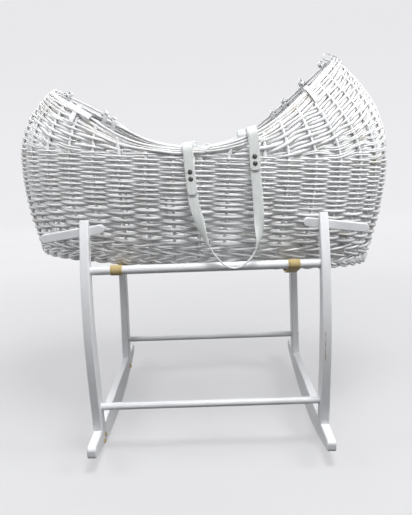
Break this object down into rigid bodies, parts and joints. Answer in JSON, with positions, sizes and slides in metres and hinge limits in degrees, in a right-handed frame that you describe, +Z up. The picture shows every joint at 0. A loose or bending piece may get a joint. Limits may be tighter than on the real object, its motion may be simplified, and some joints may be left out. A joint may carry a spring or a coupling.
{
  "type": "bassinet on stand",
  "caption": "Wicker pod bassinet with a raised head hood and two carry straps, lying in webbing slings on a low wooden rocking stand.",
  "frame": {"origin": "on the floor under the middle of the stand, where the rockers touch it", "axes": "+X along the basket towards its head end, +Y towards the rear rocker ends' far side, +Z up"},
  "size_m": [0.8261, 0.62, 0.8226],
  "materials": {
    "painted_wood": "white satin paint",
    "painted_willow": "white sprayed willow",
    "willow_tie": "white sprayed cane binding",
    "webbing": "beige woven webbing",
    "brass_bolt": "bright plated",
    "screw": "zinc plated",
    "handle_strap": "off-white coated, fine grain",
    "rivet": "dark polished nickel"
  },
  "bodies": {
    "stand": {"leg_front_left": "painted_wood", "leg_front_right": "painted_wood", "leg_rear_left": "painted_wood", "leg_rear_right": "painted_wood", "rocker_left": "painted_wood", "rocker_right": "painted_wood", "top_rail_front": "painted_wood", "top_rail_rear": "painted_wood", "lower_rail_front": "painted_wood", "lower_rail_rear": "painted_wood", "arm_front_left": "painted_wood", "arm_front_right": "painted_wood", "arm_rear_left": "painted_wood", "arm_rear_right": "painted_wood", "rail_bolts": "brass_bolt", "foot_bolts": "brass_bolt", "arm_screws": "screw", "sling_left": "webbing", "sling_right": "webbing"},
    "basket": {"base_panel": "painted_willow", "foot_border": "painted_willow", "side_wall": "painted_willow", "foot_hood": "painted_willow", "head_hood": "painted_willow", "rim_border": "painted_willow", "rim_ties": "willow_tie"},
    "handle_front": {"handle_strap_front": "handle_strap", "handle_rivets_front": "rivet"},
    "handle_rear": {"handle_strap_rear": "handle_strap", "handle_rivets_rear": "rivet"}
  },
  "joints": [
    {"name": "basket_lift", "type": "slide", "parent": "stand", "child": "basket", "axis": [0, 0, 1], "range_m": [0, 0.25]},
    {"name": "handle_front_swing", "type": "hinge", "parent": "basket", "child": "handle_front", "pos_m": [-0.02489, -0.20214, 0.62964], "axis": [-0.9804, 0, -0.1971], "range_deg": [0, 220]},
    {"name": "handle_rear_swing", "type": "hinge", "parent": "basket", "child": "handle_rear", "pos_m": [-0.02489, 0.20214, 0.62964], "axis": [0.9804, 0, 0.1971], "range_deg": [0, 220]}
  ]
}
